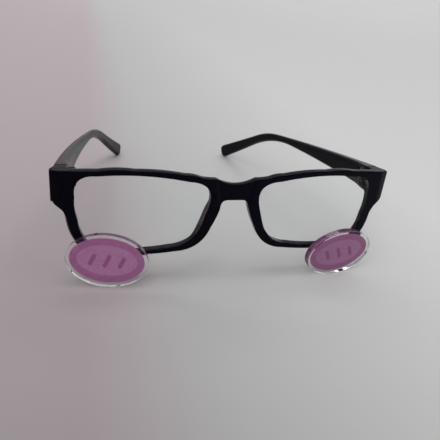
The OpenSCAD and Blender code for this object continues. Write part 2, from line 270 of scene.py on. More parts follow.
# Takes a box out of a piece, as the pockets of the hinge leaves are
def cutBox(piece, lowest, highest, flip):
    corners = [inRow(x, y, z) for x in (lowest[0], highest[0]) for y in (lowest[1], highest[1])
               for z in (lowest[2], highest[2])]
    sides = [(0, 1, 3, 2), (4, 6, 7, 5), (0, 4, 5, 1), (2, 3, 7, 6), (0, 2, 6, 4), (1, 5, 7, 3)]
    cutter = makePiece("cutter", [(corners, sides)], flip=flip)
    cut = piece.modifiers.new("pocket", "BOOLEAN")
    cut.operation = "DIFFERENCE"
    cut.solver = "EXACT"
    cut.object = cutter
    whole = bpy.context.evaluated_depsgraph_get()
    result = bpy.data.meshes.new_from_object(piece.evaluated_get(whole))
    piece.modifiers.remove(cut)
    old = piece.data
    piece.data = result
    bpy.data.meshes.remove(old)
    bpy.data.objects.remove(cutter)


def joined(name, pieces):
    shape = bmesh.new()
    for piece in pieces:
        shape.from_mesh(piece.data)
    mesh = bpy.data.meshes.new(name)
    shape.to_mesh(mesh)
    shape.free()
    mesh.materials.append(pieces[0].data.materials[0])
    for face in mesh.polygons:
        face.material_index = 0
    for piece in pieces:
        bpy.data.objects.remove(piece)
    return placedObject(name, mesh)


def evenShading(piece):
    weighted = piece.modifiers.new("evenShading", "WEIGHTED_NORMAL")
    weighted.keep_sharp = True
    weighted.weight = 60     # leans to the larger faces, so that flats look flat


# Materials
def linear(hexColour):
    parts = [int(hexColour[i:i + 2], 16) / 255 for i in (1, 3, 5)]
    return tuple(c / 12.92 if c <= 0.04045 else ((c + 0.055) / 1.055) ** 2.4 for c in parts) + (1.0,)


# A noise pattern's scale, from the size of its marks in millimetres
def patternScale(size):
    return perMetre / size


def addNode(tree, kind, settings=None, inputs=None, stops=None):
    node = tree.nodes.new(kind)
    for name, value in (settings or {}).items():
        setattr(node, name, value)
    for name, value in (inputs or {}).items():
        if isinstance(value, bpy.types.NodeSocket):
            tree.links.new(value, node.inputs[name])
        else:
            node.inputs[name].default_value = value
    for k, (place, colour) in enumerate(stops or []):
        edges = node.color_ramp.elements
        edge = edges[k] if k < 2 else edges.new(place)
        edge.position, edge.color = place, colour
    return node


def newMaterial(name):
    material = bpy.data.materials.new(name)
    material.use_nodes = True
    material.node_tree.nodes.clear()
    return material, material.node_tree


def finishMaterial(tree, shader, lets=None):
    if lets:  # clear plastic lets the lamps light what is behind it
        path = addNode(tree, "ShaderNodeLightPath")
        through = addNode(tree, "ShaderNodeBsdfTransparent", inputs={"Color": linear(lets)})
        shader = addNode(tree, "ShaderNodeMixShader", inputs={
            0: path.outputs["Is Shadow Ray"], 1: shader.outputs[0], 2: through.outputs[0]})
    addNode(tree, "ShaderNodeOutputMaterial", inputs={"Surface": shader.outputs[0]})


# Cellulose acetate, tumbled and buffed: deep black gloss with a faint bluish cast, tiny
# waves in the polish that soften reflections, and a few duller rub marks
acetateLook = {
    "dark": "#040309", "light": "#07060e", "tint": "#dcdcff", "ior": 1.48, "shine": 0.09,
    "waves": 3.85, "waveDepth": 0.1, "waveStrength": 0.12, "colourAt": (0.35, 0.7),
    "rubs": 0.455, "rubsAt": (0.4, 0.75), "rough": (0.13, 0.26),
}


def blackAcetate(look):
    material, tree = newMaterial("buffedBlackAcetate")
    at = addNode(tree, "ShaderNodeTexCoord").outputs["Object"]
    polish = addNode(tree, "ShaderNodeTexNoise", inputs={
        "Vector": at, "Scale": patternScale(look["waves"]), "Detail": 3})
    rubs = addNode(tree, "ShaderNodeTexNoise", inputs={
        "Vector": at, "Scale": patternScale(look["rubs"]), "Detail": 2})
    colour = addNode(tree, "ShaderNodeValToRGB", inputs={"Fac": polish.outputs["Fac"]},
                     stops=zip(look["colourAt"], (linear(look["dark"]), linear(look["light"]))))
    rough = addNode(tree, "ShaderNodeMapRange", inputs={
        "Value": rubs.outputs["Fac"], "From Min": look["rubsAt"][0], "From Max": look["rubsAt"][1],
        "To Min": look["rough"][0], "To Max": look["rough"][1]})
    waves = addNode(tree, "ShaderNodeBump", inputs={
        "Height": polish.outputs["Fac"], "Strength": look["waveStrength"],
        "Distance": look["waveDepth"] / perMetre})
    shader = addNode(tree, "ShaderNodeBsdfPrincipled", inputs={
        "Base Color": colour.outputs["Color"], "Roughness": rough.outputs["Result"],
        "Normal": waves.outputs["Normal"], "IOR": look["ior"], "Specular IOR Level": look["shine"],
        "Specular Tint": linear(look["tint"])})
    finishMaterial(tree, shader)
    return material


# Clear plastics: each roughness follows a noise, whose marks may be drawn out along one way.
# Cast lens plastic is almost invisible, with a faint smear left by wiping. Its anti-reflective
# coat takes most of the shine, as the low index of refraction does here.
lensLook = {
    "colour": "#fbfcfc", "lets": "#f4f4f4", "ior": 1.25, "marks": 6.25, "detail": 2,
    "turn": (0, 0.9, 0), "stretch": (1, 1, 0.25), "noise": (0.55, 0.8), "rough": (0.0, 0.06),
}
# Laser-cut acrylic, as the clear layers of a charm: crisp, with a faint haze left by the cutting
acrylicLook = {
    "colour": "#fbfafc", "lets": "#ececec", "ior": 1.4, "marks": 1.11, "detail": 1,
    "turn": (0, 0, 0), "stretch": (1, 1, 1), "noise": (0, 1), "rough": (0.01, 0.05),
}
# Cured glue between charm and rim: clear but slightly cloudy
glueLook = {
    "colour": "#e6e6e4", "lets": "#d8d8d8", "ior": 1.47, "marks": 0.667, "detail": 2,
    "turn": (0, 0, 0), "stretch": (1, 1, 1), "noise": (0, 1), "rough": (0.1, 0.35),
}


def clearPlastic(name, look):
    material, tree = newMaterial(name)
    at = addNode(tree, "ShaderNodeTexCoord").outputs["Object"]
    drawn = addNode(tree, "ShaderNodeMapping", inputs={
        "Vector": at, "Rotation": look["turn"], "Scale": look["stretch"]})
    marks = addNode(tree, "ShaderNodeTexNoise", inputs={
        "Vector": drawn.outputs[0], "Scale": patternScale(look["marks"]), "Detail": look["detail"]})
    rough = addNode(tree, "ShaderNodeMapRange", inputs={
        "Value": marks.outputs["Fac"], "From Min": look["noise"][0], "From Max": look["noise"][1],
        "To Min": look["rough"][0], "To Max": look["rough"][1]})
    shader = addNode(tree, "ShaderNodeBsdfPrincipled", inputs={
        "Base Color": linear(look["colour"]), "Roughness": rough.outputs["Result"],
        "IOR": look["ior"], "Transmission Weight": 1.0})
    finishMaterial(tree, shader, look["lets"])
    return material


# Ultraviolet-cured ink under acrylic: matt and even, with a faint mottle from the print head.
# Its grain is drawn coarser than the print's dots, which are too fine to show.
inkLook = {
    "pink": ("#a46b95", "#ae77a1"), "ring": ("#925382", "#9d5d8d"), "strokes": ("#8d4679", "#944e84"),
    "clouds": 1.43, "colourAt": (0.3, 0.7), "grain": 0.167, "rough": (0.45, 0.7), "cover": 0.9,
}


def printedInk(name, look, ink):
    material, tree = newMaterial(name)
    at = addNode(tree, "ShaderNodeTexCoord").outputs["Object"]
    mottle = addNode(tree, "ShaderNodeTexNoise", inputs={
        "Vector": at, "Scale": patternScale(look["clouds"]), "Detail": 4})
    colour = addNode(tree, "ShaderNodeValToRGB", inputs={"Fac": mottle.outputs["Fac"]},
                     stops=zip(look["colourAt"], [linear(shade) for shade in look[ink]]))
    grain = addNode(tree, "ShaderNodeTexNoise", inputs={
        "Vector": at, "Scale": patternScale(look["grain"]), "Detail": 1})
    rough = addNode(tree, "ShaderNodeMapRange", inputs={
        "Value": grain.outputs["Fac"], "To Min": look["rough"][0], "To Max": look["rough"][1]})
    shader = addNode(tree, "ShaderNodeBsdfPrincipled", inputs={
        "Base Color": colour.outputs["Color"], "Roughness": rough.outputs["Result"],
        "Alpha": look["cover"]})
    finishMaterial(tree, shader)
    return material


# Black-nickel plated steel: dark and metallic, with a lengthwise grain that breaks up its shine.
# The grain is drawn coarser than the real one, which is too fine to show.
steelLook = {
    "dark": "#121316", "light": "#232428", "colourAt": (0.3, 0.75), "grain": 0.333, "rough": (0.22, 0.42),
    "depth": 0.02, "strength": 0.2,
    "onLeaf": (1, 0.15, 1), "onScrew": (1, 1, 0.2),     # drawn out along the leaf and the screw
}


def hingeSteel(name, look, grainWay):
    material, tree = newMaterial(name)
    at = addNode(tree, "ShaderNodeTexCoord").outputs["Object"]
    drawn = addNode(tree, "ShaderNodeMapping", inputs={"Vector": at, "Scale": look[grainWay]})
    grain = addNode(tree, "ShaderNodeTexNoise", inputs={
        "Vector": drawn.outputs[0], "Scale": patternScale(look["grain"]), "Detail": 3})
    colour = addNode(tree, "ShaderNodeValToRGB", inputs={"Fac": grain.outputs["Fac"]},
                     stops=zip(look["colourAt"], (linear(look["dark"]), linear(look["light"]))))
    rough = addNode(tree, "ShaderNodeMapRange", inputs={
        "Value": grain.outputs["Fac"], "To Min": look["rough"][0], "To Max": look["rough"][1]})
    marks = addNode(tree, "ShaderNodeBump", inputs={
        "Height": grain.outputs["Fac"], "Strength": look["strength"],
        "Distance": look["depth"] / perMetre})
    shader = addNode(tree, "ShaderNodeBsdfPrincipled", inputs={
        "Base Color": colour.outputs["Color"], "Roughness": rough.outputs["Result"],
        "Normal": marks.outputs["Normal"], "Metallic": 1.0})
    finishMaterial(tree, shader)
    return material


acetate = blackAcetate(acetateLook)
lensPlastic = clearPlastic("castClearLens", lensLook)
acrylic = clearPlastic("laserCutClearAcrylic", acrylicLook)
glue = clearPlastic("curedClearGlue", glueLook)
print("materials made")

# Lens opening, with its corners from the top of the nose side round the outside
opening = {
    "bridgeGap": 15.1, "cornerDrop": 2.8, "width": 55.5, "height": 32.4, "rise": 1.85, "bottomRise": 3.5,
    "sideLean": 3.2, "noseLean": 8.2, "soft": (11.6, 9.4, 13.9, 10.5), "bow": (1.35, 0.5, 0.57, 0),
}
noseTop = Vector((opening["bridgeGap"] / 2, -opening["cornerDrop"]))
outerTop = noseTop + Vector((opening["width"], opening["rise"]))
outerLow = outerTop + Vector((-opening["sideLean"], -opening["height"]))
noseLow = Vector((noseTop.x + opening["noseLean"], outerLow.y + opening["bottomRise"]))
openingPoints = outline([
    (*corner, soft, bow) for corner, soft, bow in
    zip((noseTop, outerTop, outerLow, noseLow), opening["soft"], opening["bow"])
])

# Front: rims, bridge and the faces of the end pieces, wrapped round a wide curve
front = {
    "wrap": 400, "depth": 4,
    "bridgeHeight": 6.8, "bridgeDip": -2.2, "endWidth": 8, "endHeight": 13,
    "rimTop": 2.6, "rimBottom": 1.7, "rimNose": 2.8, "rimSide": 3.8,
    "rootOutside": 1.6, "rootThick": 4.8,     # where the temple meets the end piece
    "facet": 3.5, "facetSlope": 0.3,          # the outer end of the face turns back
}
# Its corners, measured from the opening's corners, the rim round them and the end piece's box
brow = {"shoulderOut": 3.6, "shoulderDown": 1.05, "crestAt": 0.404, "crestUp": 2.2,
        "endAt": 0.1, "endDown": 0.8}
lowSide = {"tuck": 0.8, "chinIn": 0.6, "chinDown": 2.9, "softer": 1.1, "noseDown": 0.2, "bridgeOut": 0.15}
# Edges, as width, depth and how far both ends of the bevel are rounded
bevels = {
    "face": (0.1, 0.1, 0.25), "back": (0.2, 0.2, 0.4),
    "brow": (0.25, 0.5, 0.6), "browBack": (0.5, 0.9, 0.8),     # the brow is rounded over
    "opening": (0.04, 0.04, 0.12), "noseSide": (0.3, 0.25, 0.3),
    "outerSide": (0.8, 1.4, 0.3),             # along the outer sides of the rims
    "covered": (0.01, 0.01, 0.01),            # where the end pieces go on
}
# Where they fade in: by the way the outline faces, or by place
fade = {
    "facingUp": (0.55, 0.9), "browEnd": (-66, -60), "facingOut": (0.45, 0.92), "outerX": (50, 56),
    "underEnd": (3.4, 6.5), "facingNose": (0.4, 0.9), "coveredX": (-2.2, -0.6), "coveredZ": (-15, -13.4),
    "facetX": (-0.3, 0.6),
}
# The bridge lies a little deeper than the rims. The step beside it widens upwards.
sunkBridge = {"depth": 0.55, "level": -10, "half": 6.4, "halfSpread": 0.1, "step": 0.8, "stepSpread": 0.08,
              "under": 3}

halfWidth = outerTop.x + front["endWidth"]
templeIn = halfWidth - front["rootOutside"] - front["rootThick"]
facetStart = halfWidth - front["facet"]
rimTop, endLow = front["rimTop"], -front["endHeight"]
shoulderZ = noseTop.y + rimTop - brow["shoulderDown"]
bridgeLow = shoulderZ + front["bridgeDip"] - front["bridgeHeight"]
halfCorners = [
    (noseTop.x + brow["shoulderOut"], shoulderZ, 3, 0.36),
    (noseTop.x + brow["crestAt"] * opening["width"], noseTop.y + rimTop + brow["crestUp"], 9.7, 0.53),
    (outerTop.x - brow["endAt"] * opening["width"], outerTop.y + rimTop - brow["endDown"], 4, 0),
    (halfWidth, 0, 0.8, 0),
    (halfWidth - lowSide["tuck"], endLow, 1.2, 0),
    (outerTop.x + front["rimSide"] - lowSide["chinIn"], endLow - lowSide["chinDown"], 1.5, 0),
    (outerLow.x + front["rimSide"], outerLow.y - front["rimBottom"],
     opening["soft"][2] + lowSide["softer"], 0.5),
    (noseLow.x - front["rimNose"], noseLow.y - front["rimBottom"] - lowSide["noseDown"],
     opening["soft"][3], 0.34),
    (noseTop.x - front["rimNose"] + lowSide["bridgeOut"], bridgeLow, 1.8, 0),
]
bows = [front["bridgeDip"]] + [corner[3] for corner in halfCorners[:-1]]
otherHalf = [(-x, z, soft, bow) for (x, z, soft, _), bow in zip(halfCorners, bows)][::-1]
frontPoints = outline(halfCorners + otherHalf)


def wrapY(x, depth=0):
    return front["wrap"] - math.sqrt((front["wrap"] - depth) ** 2 - x * x)


# How far the face lies behind the plain wrapped face: the outer facet and the sunk bridge
def faceRelief(x, z):
    x, above = abs(x), z - sunkBridge["level"]
    turnsFrom, turnsTo = (facetStart + step for step in fade["facetX"])
    facet = front["facetSlope"] * (x - facetStart) * ramp(x, turnsFrom, turnsTo)
    if z <= bridgeLow - sunkBridge["under"]:
        return facet
    innerX = sunkBridge["half"] + sunkBridge["halfSpread"] * above
    step = sunkBridge["step"] + sunkBridge["stepSpread"] * above
    return facet + sunkBridge["depth"] * (1 - limited((x - innerX) / step))


def placeFront(x, z, depth, back):
    if back:
        return inRow(x, wrapY(x, front["depth"] - depth), z)
    relief = faceRelief(x, z) * max(0, 1 - depth / front["depth"])
    return inRow(x, wrapY(x, depth + relief), z)


def frontEdge(p, n):
    onTop = ramp(n.y, *fade["facingUp"]) * ramp(-abs(p.x), *fade["browEnd"])
    low, high = (front["endHeight"] + under for under in fade["underEnd"])
    onSide = ramp(-p.y, low, high) * ramp(abs(n.x), *fade["facingOut"]) * ramp(abs(p.x), *fade["outerX"])
    return edgeRings(*mixed(mixed(bevels["face"], bevels["brow"], onTop), bevels["outerSide"], onSide))


def frontBackEdge(p, n):
    onTop = ramp(n.y, *fade["facingUp"])
    low, high = (templeIn + step for step in fade["coveredX"])
    covered = ramp(abs(p.x), low, high) * ramp(p.y, *fade["coveredZ"])
    return edgeRings(*mixed(mixed(bevels["back"], bevels["browBack"], onTop), bevels["covered"], covered))


def openingEdge(p, n):
    onNose = ramp(-n.x * p.x / abs(p.x), *fade["facingNose"])
    return edgeRings(*mixed(bevels["opening"], bevels["noseSide"], onNose))


# Points on the face where it bends: close rows on the bridge and columns along each facet
bridgeRows = {"x": 0.5, "z": 0.45, "shift": 0.03, "top": 3, "half": 20, "count": 32}
facetColumns = {"x": (58, 60, 62, 64), "facet": (-1.2, -0.3, 0.3, 0.8, 2), "z": 0.9, "count": 17,
                "clear": 0.35}
frontField = []
for x in range(-bridgeRows["half"], bridgeRows["half"] + 1):
    for k in range(bridgeRows["count"]):
        shift = bridgeRows["shift"] * (k % 3)     # keeps the rows from lining up
        frontField.append(Vector((x * bridgeRows["x"] + shift, bridgeRows["top"] - bridgeRows["z"] * k)))
for sign in (-1, 1):
    for x in (*facetColumns["x"], *(facetStart + step for step in facetColumns["facet"])):
        frontField += [Vector((sign * x, -facetColumns["z"] * k)) for k in range(facetColumns["count"])]
mirrored = [Vector((-p.x, p.y)) for p in reversed(openingPoints)]
frontShell = shellMesh([
    {"points": frontPoints, "sign": 1, "frontEdge": frontEdge, "backEdge": frontBackEdge},
    {"points": openingPoints, "sign": -1, "frontEdge": openingEdge, "backEdge": openingEdge},
    {"points": mirrored, "sign": -1, "frontEdge": openingEdge, "backEdge": openingEdge},
], placeFront, frontField, facetColumns["clear"])
print("front shell:", len(frontShell[0]), "vertices")

# End pieces, which return back to the hinge seams. They start inside the rims, a hair
# under their faces, and narrow towards the temples.
endPiece = {
    "round": 0.45, "under": 0.01, "narrowsAt": 2.5, "topRise": 0.2, "bottomRise": 1.7, "risesAt": 1,
    "turns": (0, 22.5, 45, 67.5, 90),
    # (y, how far the sides are drawn in)
    "stations": ((8.2, 0), (9.5, 0), (10.8, 0), (12.1, 0), (13.3, 0), (13.75, 0), (13.93, 0.07),
                 (seam["y"], 0.25)),
}


def endReturn():
    sections = []
    r, under = endPiece["round"], endPiece["under"]
    low, back = wrapY(halfWidth), seam["y"]
    for y, inset in endPiece["stations"]:
        narrowed = limited((y - low - endPiece["narrowsAt"]) / (back - low - endPiece["narrowsAt"]))
        risen = max(0, (y - low - endPiece["risesAt"]) / (back - low - endPiece["risesAt"]))
        right = mix(halfWidth, templeIn + front["rootThick"], narrowed) - inset - under - r
        left = templeIn + inset + under + r
        top = mix(endPiece["topRise"], 0, y / back) - inset - under - r
        bottom = mix(endLow, endLow + endPiece["bottomRise"], risen) + inset + r
        ring = []
        for x, z, first in ((right, top, 0), (left, top, 90), (left, bottom, 180), (right, bottom, 270)):
            for turn in endPiece["turns"]:
                angle = math.radians(first + turn)
                ring.append(inRow(x + r * math.cos(angle), y, z + r * math.sin(angle)))
        sections.append(ring)
    return loftMesh(sections)


# Nose pads, moulded on the back of each rim's nose side, swelling and fading along it
pad = {
    "length": 11, "before": 5, "after": 3.5, "first": 1.5, "edge": 0.5, "soft": 1.4, "back": 2.2,
    "lowCorner": 0.5, "topCorner": 0.7,      # how far it keeps out of the opening's soft corners
    "swells": 0.42, "fades": 0.36,           # shares of its length
    "round": (0.2, 0.2, 0.3), "plain": (0.02, 0.02, 0.02), "inward": 3, "overlap": 0.02,
    "rooted": 1, "sunk": 0.45,               # depths of its front and of its faded ends in the rim
    "step": 0.35, "least": 0.2, "smoothed": 8,
    "fieldAlong": (0.8, range(26)), "fieldAcross": (0.6, range(-3, 4)), "clear": 0.4,
}


def nosePad():
    low = noseLow + Vector((0, opening["soft"][3] * pad["lowCorner"]))
    run = (noseTop - Vector((0, opening["soft"][0] * pad["topCorner"])) - low).normalized()
    start = low + run * (pad["first"] - pad["before"])
    reach = pad["before"] + pad["length"] + pad["after"]
    end = start + run * reach
    inner, outer = -pad["inward"] * leftOf(run), (front["rimNose"] - pad["edge"]) * leftOf(run)
    corners = [(*p, pad["soft"], 0) for p in (start + inner, start + outer, end + outer, end + inner)]
    edge = grown(openingPoints, pad["overlap"])
    points = [min(edge, key=lambda e: (e - p).length) if inside(p, edge) else p
              for p in outline(corners, pad["step"])]
    points = thinned(points, pad["least"])
    for _ in range(pad["smoothed"]):  # its sharp ends are rounded, so that the bevel doesn't cross itself
        points = [(points[k - 1] + 2 * p + points[(k + 1) % len(points)]) / 4 for k, p in enumerate(points)]

    def swell(p):
        t = (p - start).dot(run) / reach
        return ramp(t, 0, pad["swells"]) * ramp(1 - t, 0, pad["fades"])

    def placePad(x, z, depth, back):
        if not back:
            return inRow(x, wrapY(x, front["depth"] - pad["rooted"] + depth), z)
        rise = (pad["back"] + pad["sunk"]) * swell(Vector((x, z)))
        return inRow(x, wrapY(x, front["depth"] - pad["sunk"] + rise - depth), z)

    (along, stations), (across, lanes) = pad["fieldAlong"], pad["fieldAcross"]
    field = [start + run * (along * i) + leftOf(run) * (across * j) for i in stations for j in lanes]
    return shellMesh([{
        "points": points, "sign": 1,
        "frontEdge": lambda p, n: edgeRings(*pad["plain"]),
        "backEdge": lambda p, n: edgeRings(*mixed(pad["plain"], pad["round"], swell(p))),
    }], placePad, field, pad["clear"])


# Temples: a side profile between two arcs seen from above
temple = {
    "length": 143, "bendAt": 97.5, "rootHeight": 11, "tipHeight": 7.3, "fall": 9.5, "tipDrop": 22,
    "innerRadius": 427, "outerRadius": 470.6, "toe": 2, "taper": 1.7,     # degrees
    "rootEdge": (0.08, 0.08, 0.17), "outerEdge": (0.12, 0.12, 0.3), "innerEdge": (0.9, 1.3, 0.4),
    "edgeFrom": (0.3, 9), "tipOut": 0.5, "tipIn": 2, "tipDown": 0.3, "underBend": 5, "step": 1.6,
    "field": {"columns": range(66), "rows": 32, "stepX": 2.2, "stepZ": 1.3}, "clear": 1.0,
}
tipTop = -temple["fall"] - temple["tipDrop"]
templePoints = outline([
    (0, 0, 0.5, 0),
    (temple["bendAt"], -temple["fall"], 10, 0),
    (temple["length"] + temple["tipOut"], tipTop, 3, 0),
    (temple["length"] - temple["tipIn"], tipTop - temple["tipHeight"] - temple["tipDown"], 3, 0),
    (temple["bendAt"] - temple["underBend"], -temple["rootHeight"], 22, 0),
    (0, -temple["rootHeight"], 0.5, 0),
], temple["step"])


def arcX(y, radius, heading, start):
    turn = math.radians(heading)
    return start - radius * math.cos(turn) + math.sqrt(radius ** 2 - (y + radius * math.sin(turn)) ** 2)


def placeTemple(y, z, depth, back):
    if back:
        x = arcX(y, temple["innerRadius"], temple["toe"], templeIn) + depth
    else:
        heading = temple["toe"] + temple["taper"]
        x = arcX(y, temple["outerRadius"], heading, templeIn + front["rootThick"]) - depth
    return inRow(x, seam["y"] + seam["gap"] + y, z)


# A temple's edge is sharp at the seam and takes its own shape further back
def templeEdge(kind):
    return lambda p, n: edgeRings(*mixed(temple["rootEdge"], temple[kind], ramp(p.x, *temple["edgeFrom"])))


# Hinge pockets, cut into the plastic round each leaf and open to the seam and the inside
def pocket(piece, fromY, toY, flip):
    c, low = leaf["clear"], -leaf["drop"] - leaf["height"]
    cutBox(piece, (templeIn - leaf["open"], fromY - c, low - c),
           (templeIn + leaf["thick"] + c, toY + c, -leaf["drop"] + c), flip)


frontParts = [makePiece("rims", [frontShell], acetate)]
padShell, endShell = nosePad(), endReturn()
for flip in (False, True):
    piece = makePiece("end", [endShell], acetate, flip)
    pocket(piece, seam["y"] - leaf["length"], seam["y"] + leaf["open"], flip)
    frontParts += [piece, makePiece("pad", [padShell], acetate, flip)]
frontPiece = joined("frontFrame", frontParts)
evenShading(frontPiece)
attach(frontPiece, "front")
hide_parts("front_frame")
print("front made")

templeShell = shellMesh([{
    "points": templePoints, "sign": 1,
    "frontEdge": templeEdge("outerEdge"), "backEdge": templeEdge("innerEdge"),
}], placeTemple, gridPoints(**temple["field"]), temple["clear"])
templeStart = seam["y"] + seam["gap"]
for side, flip in (("left", False), ("right", True)):
    piece = makePiece(side + "Temple", [templeShell], acetate, flip)
    pocket(piece, templeStart - leaf["open"], templeStart + leaf["length"], flip)
    evenShading(piece)
    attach(piece, side + "_temple")
    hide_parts("temple_" + side)
print("temples made")

# Lenses, cut to the openings and curved as the front, with a tongue round each in the rim's groove
lens = {
    "thick": 2, "inset": 1, "pressed": 0.06, "bite": 0.5, "tongue": 0.9, "land": 0.3,
    "soft": 0.05, "softIn": 0.6, "softMiddle": 0.2,     # its edge, and shares of it
    "field": {"columns": range(3, 27), "rows": 17, "stepX": 2.5, "stepZ": 2.5, "top": 4}, "clear": 1.2,
}


def placeLens(x, z, depth, back):
    return inRow(x, wrapY(x, lens["inset"] + (lens["thick"] - depth if back else depth)), z)


# The lens is pressed against the rim, so that no gap shows as a bright line round it
def lensEdge(p, n):
    side, bite, soft = -lens["pressed"], -lens["bite"], lens["soft"]
    middle, step = lens["softMiddle"] * soft, (lens["thick"] - lens["tongue"]) / 2
    pairs = [(side + lens["softIn"] * soft, 0), (side + middle, middle), (side, soft), (side, lens["land"]),
             (side, step), (bite / 2, step), (bite + soft, step), (bite, step + soft)]
    return [Vector(pair) for pair in pairs]


lensShell = shellMesh([{
    "points": openingPoints, "sign": 1, "frontEdge": lensEdge, "backEdge": lensEdge,
}], placeLens, gridPoints(**lens["field"]), lens["clear"])
for side, flip in (("left", False), ("right", True)):
    piece = makePiece(side + "Lens", [lensShell], lensPlastic, flip)
    evenShading(piece)
    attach(piece, "front")
    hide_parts("lens_" + side)
print("lenses made")

# Charms: clear acrylic round the printed film, glued over each lower outer rim
charm = {
    "width": 32.7, "height": 21.8, "thick": 3, "turn": 5, "points": 144,
    "frontEdge": (0.12, 0.12, 0.25), "backEdge": (0.06, 0.06, 0.12),
}


# The middle of a charm's face, the ways across and up it, and the way out of it. The right
# charm is worked out as if it were on the left, and mirrored at the end.
def charmFrame(sign, name):
    mount = next(m for m in frame["record"]["mounts"] if m["name"] == "charm_face_" + name)
    middle, out = Vector(mount["pos_m"]), Vector(mount["axis"])
    middle.x *= sign
    out.x *= sign
    level = upright.cross(out).normalized()
    turn = math.radians(charm["turn"])
    across = level * math.cos(turn) + out.cross(level) * math.sin(turn)
    return middle, across, out.cross(across), out


def charmPlace(sign, name):
    middle, across, up, out = charmFrame(sign, name)

    def place(u, v, depth, back):
        behind = charm["thick"] - depth if back else depth
        p = middle + (u * across + v * up - behind * out) / perMetre
        return Vector((sign * p.x, p.y, p.z))

    return place


oval = [Vector((charm["width"] / 2 * math.cos(a), -charm["height"] / 2 * math.sin(a)))
        for a in (i * math.tau / charm["points"] for i in range(charm["points"]))]
for sign, name in ((1, "left"), (-1, "right")):
    shell = shellMesh([{
        "points": oval, "sign": 1,
        "frontEdge": lambda p, n: edgeRings(*charm["frontEdge"]),
        "backEdge": lambda p, n: edgeRings(*charm["backEdge"]),
    }], charmPlace(sign, name))
    piece = makePiece(name + "Charm", [shell], acrylic)
    evenShading(piece)
    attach(piece, "front")
    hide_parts("charm_back_" + name, "charm_cover_" + name)
print("charms made")

# Glue drops along the rim behind each charm, by Geometry Nodes. Each is squashed to the gap
# between the rim and the charm.
drops = {"radius": 0.7, "spacing": 3.6, "reach": 0.62, "flattest": 0.12, "segments": 20, "rings": 10}


def dropTree():
    tree = bpy.data.node_groups.new("glueDrops", "GeometryNodeTree")
    face = tree.interface
    face.new_socket("Geometry", in_out="INPUT", socket_type="NodeSocketGeometry")
    radius = face.new_socket("Drop radius", in_out="INPUT", socket_type="NodeSocketFloat")
    turn = face.new_socket("Charm turn", in_out="INPUT", socket_type="NodeSocketVector")
    finish = face.new_socket("Finish", in_out="INPUT", socket_type="NodeSocketMaterial")
    face.new_socket("Geometry", in_out="OUTPUT", socket_type="NodeSocketGeometry")
    given = addNode(tree, "NodeGroupInput")
    ball = addNode(tree, "GeometryNodeMeshUVSphere", inputs={
        "Segments": drops["segments"], "Rings": drops["rings"], "Radius": given.outputs["Drop radius"]})
    gap = addNode(tree, "GeometryNodeInputNamedAttribute", {"data_type": "FLOAT"}, {"Name": "squash"})
    size = addNode(tree, "ShaderNodeCombineXYZ", inputs={"X": 1.0, "Y": 1.0, "Z": gap.outputs["Attribute"]})
    placed = addNode(tree, "GeometryNodeInstanceOnPoints", inputs={
        "Points": given.outputs["Geometry"], "Instance": ball.outputs["Mesh"],
        "Rotation": given.outputs["Charm turn"], "Scale": size.outputs[0]})
    real = addNode(tree, "GeometryNodeRealizeInstances", inputs={"Geometry": placed.outputs[0]})
    smooth = addNode(tree, "GeometryNodeSetShadeSmooth", inputs={"Geometry": real.outputs[0]})
    painted = addNode(tree, "GeometryNodeSetMaterial", inputs={
        "Geometry": smooth.outputs[0], "Material": given.outputs["Finish"]})
    addNode(tree, "NodeGroupOutput", inputs={"Geometry": painted.outputs[0]})
    return tree, radius.identifier, turn.identifier, finish.identifier


# Where the drops of one charm sit, and how flat each of them is
def dropSpots(sign, name):
    middle, across, up, out = charmFrame(sign, name)
    spots, squash, travelled = [], [], 0
    for k, p in enumerate(rimLine):
        travelled += (p - rimLine[k - 1]).length if k else 0
        onRim = inRow(p.x, wrapY(p.x), p.y)
        away = perMetre * (onRim - middle)
        u, v = 2 * away.dot(across) / charm["width"], 2 * away.dot(up) / charm["height"]
        if u ** 2 + v ** 2 < drops["reach"] and travelled > drops["spacing"]:
            travelled = 0
            gap = -away.dot(out) - charm["thick"]
            spot = onRim + out * gap / 2 / perMetre
            spots.append(Vector((sign * spot.x, spot.y, spot.z)))
            squash.append(max(drops["flattest"], gap / (2 * drops["radius"])))
    return spots, squash, Vector((sign * out.x, out.y, out.z)).to_track_quat("Z", "Y").to_euler()


dropNodes, radiusInput, turnInput, finishInput = dropTree()
rimLine = grown(openingPoints, front["rimBottom"] / 2)
for sign, name in ((1, "left"), (-1, "right")):
    spots, squash, facing = dropSpots(sign, name)
    mesh = bpy.data.meshes.new(name + "Glue")
    mesh.from_pydata(spots, [], [])
    mesh.attributes.new("squash", "FLOAT", "POINT").data.foreach_set("value", squash)
    maker = placedObject(name + "GlueMaker", mesh)
    run = maker.modifiers.new("drops", "NODES")
    run.node_group = dropNodes
    run[radiusInput] = drops["radius"] / perMetre
    run[turnInput] = tuple(facing)
    run[finishInput] = glue
    whole = bpy.context.evaluated_depsgraph_get()
    result = bpy.data.meshes.new_from_object(maker.evaluated_get(whole))
    bpy.data.objects.remove(maker)
    piece = placedObject(name + "Glue", result)
    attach(piece, "front")
    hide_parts("adhesive_" + name)
print("glue made")

# Finishes of the CAD pieces that stay
leafSteel = hingeSteel("platedHingeSteel", steelLook, "onLeaf")
screwSteel = hingeSteel("turnedScrewSteel", steelLook, "onScrew")
pinkInk = printedInk("curedPinkInk", inkLook, "pink")
ringInk = printedInk("curedRingInk", inkLook, "ring")
strokeInk = printedInk("curedStrokeInk", inkLook, "strokes")
finishes = {"hinge_front": leafSteel, "hinge_temple": leafSteel, "hinge_screw": screwSteel,
            "blush_base": pinkInk, "blush_ring": ringInk, "blush_strokes": strokeInk}
for start, material in finishes.items():
    for side in ("left", "right"):
        for slot in nodes[start + "_" + side].material_slots:
            slot.material = material
print("CAD finishes set")

